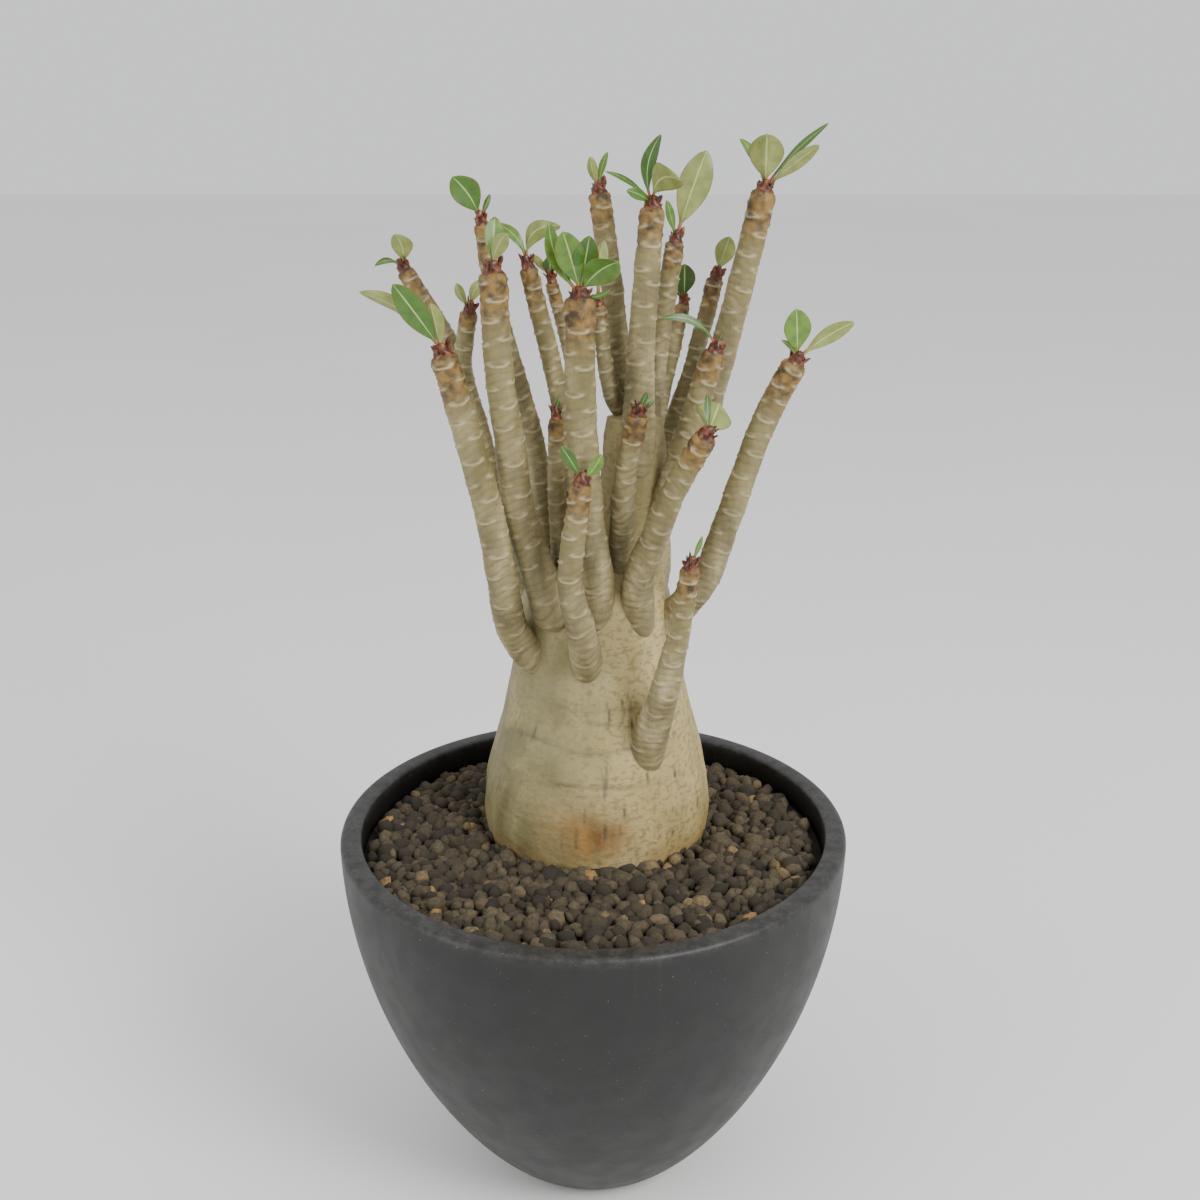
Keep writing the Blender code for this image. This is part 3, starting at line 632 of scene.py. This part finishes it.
def grain_ball():
    """Points and outward triangles of a ball: an octahedron with every edge halved and the
    new corners pushed out to a distance of one."""
    corners = np.array([(1, 0, 0), (-1, 0, 0), (0, 1, 0), (0, -1, 0), (0, 0, 1), (0, 0, -1)], float)
    edges = [(a, b) for a in range(6) for b in range(a + 1, 6) if corners[a] @ corners[b] == 0]
    ball = np.vstack([corners] + [[(corners[a] + corners[b]) / math.sqrt(2)] for a, b in edges])
    faces = []
    for a in (0, 1):
        for b in (2, 3):
            for c in (4, 5):
                ab, bc, ac = (6 + edges.index(pair) for pair in ((a, b), (b, c), (a, c)))
                faces += [(a, ab, ac), (ab, b, bc), (ac, bc, c), (ab, bc, ac)]
    faces = np.array(faces)
    mid = ball[faces]
    inward = np.einsum("ij,ij->i", mid.sum(1), np.cross(mid[:, 1] - mid[:, 0],
                                                        mid[:, 2] - mid[:, 0])) < 0
    faces[inward] = faces[inward][:, ::-1]
    return ball, faces


def grit_shape(spacing, seed):
    """The bed, and two layers of loose grains over it on a jittered triangular grid. Each
    grain is a ball made lumpy, stretched along three axes and turned at random."""
    rng = np.random.default_rng(seed)
    cells = np.arange(-72, 72, spacing)
    x, y = np.meshgrid(cells, cells * 0.866)
    x = x + np.where(np.arange(len(cells)) % 2, spacing / 2, 0)[:, None]
    place = np.stack([x.ravel(), y.ravel()], -1)
    place = np.vstack([place, place + spacing * 0.5])
    place = place + rng.uniform(-0.4, 0.4, place.shape) * spacing
    layer = np.repeat([0.0, 1.0], len(place) // 2)
    size = rng.uniform(1.6, 2.95, len(place)) * np.where(rng.random(len(place)) < 0.1, 1.25, 1)
    from_pot = np.linalg.norm(place, axis=1)
    from_plant = np.linalg.norm(place - CAUDEX_AXIS, axis=1)
    keep = (from_pot < GRAIN_EDGE - size) & (from_plant > GRAIN_CLEAR)
    place, layer, size = place[keep], layer[keep], size[keep]
    count = len(place)
    height = GRAIN_LEVEL + LAYER_RISE * layer + rng.uniform(-0.5, 0.9, count) - 0.012 * place[:, 1]
    centres = np.column_stack([place, height])
    ball, faces = grain_ball()
    lump = rng.uniform(0.86, 1.12, (count, len(ball), 1))
    stretch = rng.uniform(0.72, 1.2, (count, 1, 3))
    spin, _ = np.linalg.qr(rng.normal(size=(count, 3, 3)))
    spin[:, :, 0] *= np.sign(np.linalg.det(spin))[:, None]
    grains = np.einsum("nij,nkj->nki", spin, ball[None] * lump * stretch) * size[:, None, None]
    points = (grains + centres[:, None]).reshape(-1, 3)
    fans = (faces[None] + (np.arange(count) * len(ball))[:, None, None]).reshape(-1, 3)
    tone = np.repeat(rng.random(count), len(ball))
    return join_shells([bed_shape(), (points, np.zeros((0, 4), int), fans, {"tone": tone})])


# Looks.

def srgb(red, green, blue):
    """A colour given from 0 to 255 as light, for a node's socket."""
    parts = np.array([red, green, blue]) / 255
    light = np.where(parts > 0.04045, ((parts + 0.055) / 1.055) ** 2.4, parts / 12.92)
    return (*light.tolist(), 1.0)


class Looks:
    """One material's node tree, with short ways to add its nodes and join them."""

    def __init__(self, name):
        """Start a material with one principled shader and the object's own coordinates."""
        self.material = bpy.data.materials.new(name)
        self.material.use_nodes = True
        self.tree = self.material.node_tree
        self.shader = self.tree.nodes["Principled BSDF"]
        self.place = self.tree.nodes.new("ShaderNodeTexCoord").outputs["Object"]

    def put(self, socket, value):
        """Join a socket to another, or set its value."""
        if isinstance(value, bpy.types.NodeSocket):
            self.tree.links.new(value, socket)
        else:
            socket.default_value = value

    def noise(self, scale, detail=4.0, stretch=(1, 1, 1)):
        """A noise pattern from 0 to 1, finer as the scale rises, in turns per metre."""
        mapping = self.tree.nodes.new("ShaderNodeMapping")
        mapping.inputs["Scale"].default_value = stretch
        self.put(mapping.inputs["Vector"], self.place)
        pattern = self.tree.nodes.new("ShaderNodeTexNoise")
        pattern.inputs["Scale"].default_value = scale
        pattern.inputs["Detail"].default_value = detail
        self.put(pattern.inputs["Vector"], mapping.outputs[0])
        return pattern.outputs["Fac"]

    def value(self, name):
        """A number stored on the mesh."""
        stored = self.tree.nodes.new("ShaderNodeAttribute")
        stored.attribute_name = name
        return stored.outputs["Fac"]

    def height(self):
        """Height above the surface the pot stands on, in metres."""
        split = self.tree.nodes.new("ShaderNodeSeparateXYZ")
        self.put(split.inputs[0], self.place)
        return split.outputs["Z"]

    def maths(self, operation, first, second=0.5):
        """One step of arithmetic, held between 0 and 1."""
        step = self.tree.nodes.new("ShaderNodeMath")
        step.operation = operation
        step.use_clamp = True
        self.put(step.inputs[0], first)
        self.put(step.inputs[1], second)
        return step.outputs[0]

    def band(self, source, low, high, bottom=0.0, top=1.0):
        """A smooth rise from bottom to top as the source goes from low to high."""
        spread = self.tree.nodes.new("ShaderNodeMapRange")
        spread.interpolation_type = "SMOOTHSTEP"
        self.put(spread.inputs["Value"], source)
        for key, value in (("From Min", low), ("From Max", high), ("To Min", bottom), ("To Max", top)):
            spread.inputs[key].default_value = value
        return spread.outputs[0]

    def mix(self, share, first, second, kind="MIX"):
        """Two colours blended by a share."""
        blend = self.tree.nodes.new("ShaderNodeMix")
        blend.data_type = "RGBA"
        blend.blend_type = kind
        self.put(blend.inputs[0], share)
        self.put(blend.inputs[6], first)
        self.put(blend.inputs[7], second)
        return blend.outputs[2]

    def ramp(self, source, stops):
        """Colours read off a scale of (place, colour) stops."""
        scale = self.tree.nodes.new("ShaderNodeValToRGB")
        marks = scale.color_ramp.elements
        while len(marks) < len(stops):
            marks.new(0.5)
        for mark, (where, colour) in zip(marks, stops):
            mark.position = where
            mark.color = colour
        self.put(scale.inputs[0], source)
        return scale.outputs[0]

    def bump(self, height, strength, distance, before=None):
        """A fine relief from a height pattern, over an earlier one if there is one."""
        relief = self.tree.nodes.new("ShaderNodeBump")
        relief.inputs["Strength"].default_value = strength
        relief.inputs["Distance"].default_value = distance
        self.put(relief.inputs["Height"], height)
        if before:
            self.put(relief.inputs["Normal"], before)
        return relief.outputs[0]

    def done(self, colour, roughness, normal):
        """Join the finished patterns to the shader and give back the material."""
        self.put(self.shader.inputs["Base Color"], colour)
        self.put(self.shader.inputs["Roughness"], roughness)
        self.put(self.shader.inputs["Normal"], normal)
        return self.material


def pot_material():
    """Matte charcoal plastic with pale dust specks, scuffed towards its rim, and lighter grey over the
    rim's top as dust and painted sheen.
    """
    looks = Looks("pot_plastic")
    body = looks.ramp(looks.noise(45, 5), [(0.35, srgb(15, 14, 14)), (0.7, srgb(18, 17, 16))])
    strokes = looks.band(looks.noise(300, 5, (1, 1, 0.05)), 0.55, 0.85, 0.0, 0.4)
    near_rim = looks.band(looks.height(), 0.070, 0.111)
    body = looks.mix(looks.maths("MULTIPLY", strokes, near_rim), body, srgb(46, 43, 39))
    # Dust and painted sheen: the rim's upward face is mottled lighter grey where it faces the light.
    top = looks.maths("MULTIPLY", looks.band(looks.height(), 0.1085, 0.1118),
                      looks.band(looks.noise(260, 6), 0.3, 0.62, 0.15, 0.75))
    body = looks.mix(top, body, looks.ramp(looks.noise(900, 4), [(0.3, srgb(38, 37, 35)),
                                                                  (0.7, srgb(66, 64, 61))]))
    specks = looks.band(looks.noise(1500, 2), 0.73, 0.78)
    body = looks.mix(looks.maths("MULTIPLY", specks, 0.6), body, srgb(150, 142, 125))
    rough = looks.band(looks.noise(120, 5), 0.3, 0.7, 0.46, 0.54)
    return looks.done(body, rough, looks.bump(looks.noise(1400, 4), 0.16, 0.0003))


def grit_material():
    """Crushed stone of mixed browns and greys, with a few tan and orange grains."""
    looks = Looks("grit")
    tone = looks.ramp(looks.value("tone"), [
        (0.0, srgb(40, 34, 25)), (0.3, srgb(58, 50, 36)), (0.6, srgb(74, 64, 46)),
        (0.95, srgb(94, 82, 60)), (0.985, srgb(126, 106, 72)), (1.0, srgb(160, 122, 70))])
    tone = looks.mix(looks.band(looks.noise(900, 5), 0.35, 0.7, 0.0, 0.5), tone, srgb(42, 36, 27))
    return looks.done(tone, 0.92, looks.bump(looks.noise(1800, 5), 0.5, 0.0004))


def caudex_material():
    """Smooth pale bark, cream with brown stains, olive grey on its left side as painted shade, and
    darkened in its creases and slits as painted shade.
    """
    looks = Looks("caudex_bark")
    cream = looks.ramp(looks.noise(60, 6, (1, 1, 0.5)), [(0.3, srgb(150, 131, 80)),
                                                         (0.55, srgb(184, 165, 112)),
                                                         (0.75, srgb(208, 191, 140))])
    olive = looks.ramp(looks.noise(110, 5, (1, 1, 0.4)), [(0.3, srgb(104, 98, 60)),
                                                          (0.7, srgb(148, 139, 96))])
    patch = looks.band(looks.noise(38, 3), 0.35, 0.62)
    # Painted shade: olive grey over the marked left side, broken by patches.
    bark = looks.mix(looks.maths("MULTIPLY", looks.value("painted_side_shade"), looks.maths("ADD", patch, 0.6)),
                     cream, olive)
    brown = looks.ramp(looks.noise(240, 5, (1, 1, 0.25)), [(0.3, srgb(112, 74, 32)),
                                                            (0.7, srgb(168, 126, 66))])
    spots = looks.band(looks.noise(130, 5), 0.3, 0.6, 0.35, 1.0)
    bark = looks.mix(looks.maths("MULTIPLY", looks.value("stain"), spots), bark, brown)
    threads = looks.band(looks.noise(520, 6, (1, 1, 1.6)), 0.5, 0.62, 0.0, 0.6)
    bark = looks.mix(threads, bark, srgb(122, 110, 68))
    streaks = looks.band(looks.noise(700, 4, (1, 1, 0.2)), 0.52, 0.72, 0.0, 0.35)
    bark = looks.mix(streaks, bark, srgb(122, 102, 58))
    # Painted shade: dark grey olive laid into the creases and slits.
    bark = looks.mix(looks.maths("MULTIPLY", looks.value("crease_and_slit_shade"), 1.0), bark, srgb(70, 66, 56))
    relief = looks.bump(looks.noise(330, 7, (1, 1, 1.5)), 0.5, 0.0007)
    relief = looks.bump(looks.noise(1500, 4), 0.2, 0.0002, relief)
    return looks.done(bark, looks.band(looks.noise(90, 3), 0.3, 0.7, 0.5, 0.68), relief)


def stem_material():
    """Grey beige bark with pale scar ridges and painted shade in its wrinkle grooves, turning brown and
    rough at the tip.
    """
    looks = Looks("stem_bark")
    old = looks.ramp(looks.noise(150, 6, (1, 1, 0.35)), [(0.3, srgb(104, 95, 62)),
                                                         (0.55, srgb(144, 132, 92)),
                                                         (0.75, srgb(182, 169, 128))])
    young = looks.ramp(looks.noise(380, 5), [(0.35, srgb(58, 42, 18)), (0.62, srgb(138, 106, 50))])
    # Painted shade: darker brown in the grooves, where the wrinkle pattern sinks the skin.
    old = looks.mix(looks.band(looks.value("wrinkle"), 0.1, 0.55, 0.38, 0.0), old, srgb(74, 62, 36))
    green = looks.band(looks.value("run"), 0.45, 0.85, 0.0, 0.4)
    bark = looks.mix(green, old, srgb(118, 108, 58))
    bark = looks.mix(looks.band(looks.value("tip"), 0.0, 0.75, 0.0, 0.95), bark, young)
    bark = looks.mix(looks.maths("MULTIPLY", looks.value("cup"), 0.35), bark, srgb(104, 88, 60))
    bark = looks.mix(looks.maths("MULTIPLY", looks.value("scar"), 0.62), bark, srgb(214, 200, 160))
    specks = looks.band(looks.noise(1300, 3), 0.62, 0.72, 0.0, 0.5)
    bark = looks.mix(specks, bark, srgb(70, 56, 38))
    relief = looks.bump(looks.noise(900, 5, (1, 1, 0.4)), 0.35, 0.0004)
    return looks.done(bark, looks.band(looks.noise(200, 3), 0.3, 0.7, 0.5, 0.7), relief)


def leaf_material():
    """Green blades, paler below, with a pale midrib and a red stalk, and brown bracts."""
    looks = Looks("leaf_green")
    across = looks.value("across")
    along = looks.value("along")
    fresh = looks.ramp(looks.value("tone"), [(0.0, srgb(40, 78, 22)), (0.5, srgb(70, 112, 30)),
                                             (1.0, srgb(104, 140, 50))])
    fresh = looks.mix(looks.band(looks.noise(420, 4), 0.35, 0.7, 0.0, 0.45), fresh, srgb(42, 76, 24))
    below = looks.ramp(looks.noise(300, 4), [(0.3, srgb(112, 124, 58)), (0.7, srgb(144, 154, 86))])
    blade = looks.mix(looks.value("upper"), below, fresh)
    rib = looks.band(across, 0.01, 0.09, 0.65, 0.0)
    blade = looks.mix(rib, blade, srgb(196, 206, 138))
    blade = looks.mix(looks.band(across, 0.88, 1.0, 0.0, 0.5), blade, srgb(88, 70, 40))
    blade = looks.mix(looks.band(along, 0.06, 0.24, 0.9, 0.0), blade, srgb(172, 66, 50))
    dry = looks.ramp(looks.noise(700, 3), [(0.3, srgb(40, 22, 12)), (0.52, srgb(92, 44, 24)),
                                           (0.72, srgb(142, 88, 44))])
    blade = looks.mix(looks.value("dry"), blade, dry)
    looks.put(looks.shader.inputs["Subsurface Weight"], 0.08)
    looks.put(looks.shader.inputs["Subsurface Scale"], 0.002)
    relief = looks.bump(looks.noise(1100, 4), 0.2, 0.0002)
    return looks.done(blade, looks.band(looks.noise(260, 3), 0.3, 0.7, 0.34, 0.5), relief)


# Settings, operators and panel.

class PotSettings(bpy.types.PropertyGroup):
    """Settings for the pot."""
    warp: bpy.props.FloatProperty(
        name="Rim warp", description="How far the rim is out of true, in millimetres",
        default=0.25, min=0.0, max=1.0)


class GritSettings(bpy.types.PropertyGroup):
    """Settings for the grit bed."""
    spacing: bpy.props.FloatProperty(
        name="Grain spacing", description="Distance between grains of a layer, in millimetres",
        default=3.9, min=2.5, max=8.0)
    seed: bpy.props.IntProperty(
        name="Seed", description="Which scatter of grains is used", default=8, min=0)


class CaudexSettings(bpy.types.PropertyGroup):
    """Settings for the swollen base."""
    lobes: bpy.props.FloatProperty(
        name="Lobe depth", description="How far the lobes swell and sink, in millimetres",
        default=0.9, min=0.0, max=2.0)


class StemSettings(bpy.types.PropertyGroup):
    """Settings for the stems."""
    scar_spacing: bpy.props.FloatProperty(
        name="Scar spacing", description="Rough distance between scars on one side, in millimetres",
        default=4.6, min=2.0, max=12.0)
    scar_height: bpy.props.FloatProperty(
        name="Scar height", description="How far a scar's ridge stands out, in millimetres",
        default=0.34, min=0.0, max=0.8)


class LeafSettings(bpy.types.PropertyGroup):
    """Settings for the leaf tufts."""
    bracts: bpy.props.IntProperty(
        name="Bracts", description="Small dry scales round the foot of each tuft",
        default=9, min=0, max=20)


class StageSettings(bpy.types.PropertyGroup):
    """Settings for the floor, light and camera."""
    world_light: bpy.props.FloatProperty(
        name="Room light", description="Strength of the pale light from all round",
        default=1.0, min=0.0, max=3.0)
    key_power: bpy.props.FloatProperty(
        name="Main light", description="Power of the large soft light at the front right",
        default=15.0, min=0.0, max=100.0, unit="POWER")


def need_nodes(names):
    """Stop with an error if the frame lacks a CAD node of one of these names."""
    missing = [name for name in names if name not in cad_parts]
    if missing:
        raise RuntimeError("the frame has no node " + ", ".join(missing))


class DESERTROSE_OT_pot(bpy.types.Operator):
    """Build the pot, with its drain holes and foot notches cut through"""
    bl_idname = "desertrose.pot"
    bl_label = "Pot"

    def execute(self, context):
        """Turn the pot's skin, cut the drains and keep the result as a plain mesh."""
        need_nodes(["pot"])
        settings = context.scene.desert_rose_pot
        pot = make_piece("pot_shell", pot_shape(settings.warp), pot_material(), "pot")
        cutter = bpy.data.objects.new("drains", make_mesh("drains", drain_shape()))
        context.scene.collection.objects.link(cutter)
        cut = pot.modifiers.new("drains", "BOOLEAN")
        cut.operation = "DIFFERENCE"
        cut.solver = "EXACT"
        cut.object = cutter
        context.view_layer.update()
        result = bpy.data.meshes.new_from_object(pot.evaluated_get(context.evaluated_depsgraph_get()))
        pot.modifiers.clear()
        bpy.data.objects.remove(cutter, do_unlink=True)
        if len(result.polygons) < len(pot.data.polygons):
            raise RuntimeError("the drains were not cut")
        pot.data = result
        result.shade_smooth()
        result.set_sharp_from_angle(angle=math.radians(40))
        return {"FINISHED"}


class DESERTROSE_OT_grit(bpy.types.Operator):
    """Build the grit bed and its loose grains"""
    bl_idname = "desertrose.grit"
    bl_label = "Grit"

    def execute(self, context):
        """Lay the bed and scatter the grains."""
        need_nodes(["soil"])
        settings = context.scene.desert_rose_grit
        make_piece("grit_bed", grit_shape(settings.spacing, settings.seed), grit_material(),
                   "soil")
        return {"FINISHED"}


class DESERTROSE_OT_caudex(bpy.types.Operator):
    """Build the swollen base and its trunk"""
    bl_idname = "desertrose.caudex"
    bl_label = "Caudex"

    def execute(self, context):
        """Turn and crease the base."""
        need_nodes(["caudex"])
        make_piece("caudex_wood", caudex_shape(context.scene.desert_rose_caudex.lobes),
                   caudex_material(), "caudex")
        return {"FINISHED"}


class DESERTROSE_OT_stems(bpy.types.Operator):
    """Build every stem with its leaf scars"""
    bl_idname = "desertrose.stems"
    bl_label = "Stems"

    def execute(self, context):
        """Run a tube along each stem's route."""
        need_nodes(["stem_" + name for name in STEMS])
        settings = context.scene.desert_rose_stems
        material = stem_material()
        for name in STEMS:
            shape = stem_shape(name, settings.scar_spacing, settings.scar_height)
            make_piece("wood_" + name, shape, material, "stem_" + name)
        return {"FINISHED"}


class DESERTROSE_OT_leaves(bpy.types.Operator):
    """Build the tuft of leaves at each stem's tip"""
    bl_idname = "desertrose.leaves"
    bl_label = "Leaves"

    def execute(self, context):
        """Set a bud, its leaves and its bracts on each stem."""
        need_nodes(["leaves_" + name for name in LEAVES])
        material = leaf_material()
        for name in LEAVES:
            make_piece("tuft_" + name, tuft_shape(name, context.scene.desert_rose_leaves.bracts),
                       material, "leaves_" + name)
        return {"FINISHED"}


def add_light(name, place, target, power, size):
    """A square soft light aimed from its place at a target, in metres."""
    data = bpy.data.lights.new(name, "AREA")
    data.energy = power
    data.size = size
    light = bpy.data.objects.new(name, data)
    light.location = place
    bpy.context.scene.collection.objects.link(light)
    light.rotation_euler = (Vector(target) - light.location).to_track_quat("-Z", "Y").to_euler()


class DESERTROSE_OT_stage(bpy.types.Operator):
    """Set the floor, the lights and the camera"""
    bl_idname = "desertrose.stage"
    bl_label = "Stage"

    def execute(self, context):
        """Add a pale floor, soft light and the camera."""
        settings = context.scene.desert_rose_stage
        looks = Looks("pale_floor")
        tint = looks.ramp(looks.noise(3, 2), [(0.3, (0.86, 0.85, 0.83, 1)), (0.7, (0.89, 0.88, 0.86, 1))])
        looks.done(tint, 0.8, looks.bump(looks.noise(200, 3), 0.05, 0.0005))
        reach = 3.0
        mesh = bpy.data.meshes.new("floor")
        mesh.from_pydata([(-reach, -reach, 0), (reach, -reach, 0), (reach, reach, 0),
                          (-reach, reach, 0)], [], [(0, 1, 2, 3)])
        mesh.materials.append(looks.material)
        floor = bpy.data.objects.new("floor", mesh)
        context.scene.collection.objects.link(floor)
        world = bpy.data.worlds.new("pale_room")
        world.use_nodes = True
        background = world.node_tree.nodes["Background"]
        background.inputs["Color"].default_value = (0.93, 0.94, 0.96, 1)
        background.inputs["Strength"].default_value = settings.world_light
        context.scene.world = world
        add_light("main_light", (0.75, -0.75, 0.95), (0, 0, 0.17), settings.key_power, 0.55)
        add_light("fill_light", (-0.9, -0.5, 0.6), (0, 0, 0.15), settings.key_power * 0.25, 0.8)
        data = bpy.data.cameras.new("camera")
        data.lens = 48.0
        data.sensor_width = 36.0
        camera = bpy.data.objects.new("camera", data)
        camera.location = (0.0021, -0.4275, 0.3366)
        camera.rotation_euler = (math.radians(70.19), 0.0, 0.0)
        context.scene.collection.objects.link(camera)
        context.scene.camera = camera
        return {"FINISHED"}


class DESERTROSE_PT_panel(bpy.types.Panel):
    """Buttons and settings for the potted desert rose"""
    bl_idname = "DESERTROSE_PT_panel"
    bl_label = "Desert rose"
    bl_space_type = "VIEW_3D"
    bl_region_type = "UI"
    bl_category = "Desert rose"

    def draw(self, context):
        """Show each operator over its settings."""
        for operator, place, _, names in SETTINGS:
            box = self.layout.box()
            box.operator(operator)
            for name in names:
                box.prop(getattr(context.scene, place), name)


SETTINGS = (                     # (operator, place in the scene, group, its settings)
    ("desertrose.pot", "desert_rose_pot", PotSettings, ("warp",)),
    ("desertrose.grit", "desert_rose_grit", GritSettings, ("spacing", "seed")),
    ("desertrose.caudex", "desert_rose_caudex", CaudexSettings, ("lobes",)),
    ("desertrose.stems", "desert_rose_stems", StemSettings, ("scar_spacing", "scar_height")),
    ("desertrose.leaves", "desert_rose_leaves", LeafSettings, ("bracts",)),
    ("desertrose.stage", "desert_rose_stage", StageSettings, ("world_light", "key_power")),
)
CLASSES = (DESERTROSE_OT_pot, DESERTROSE_OT_grit, DESERTROSE_OT_caudex, DESERTROSE_OT_stems,
           DESERTROSE_OT_leaves, DESERTROSE_OT_stage, DESERTROSE_PT_panel)


def register():
    """Add the settings, operators and panel."""
    for _, place, group, _ in SETTINGS:
        bpy.utils.register_class(group)
        setattr(bpy.types.Scene, place, bpy.props.PointerProperty(type=group))
    for item in CLASSES:
        bpy.utils.register_class(item)


def unregister():
    """Take the panel, operators and settings away again."""
    for item in reversed(CLASSES):
        bpy.utils.unregister_class(item)
    for _, place, group, _ in reversed(SETTINGS):
        delattr(bpy.types.Scene, place)
        bpy.utils.unregister_class(group)


def main():
    """Add the settings and build everything in order."""
    register()
    bpy.ops.desertrose.pot()
    bpy.ops.desertrose.grit()
    bpy.ops.desertrose.caudex()
    bpy.ops.desertrose.stems()
    bpy.ops.desertrose.leaves()
    bpy.ops.desertrose.stage()


if __name__ == "__main__":
    main()
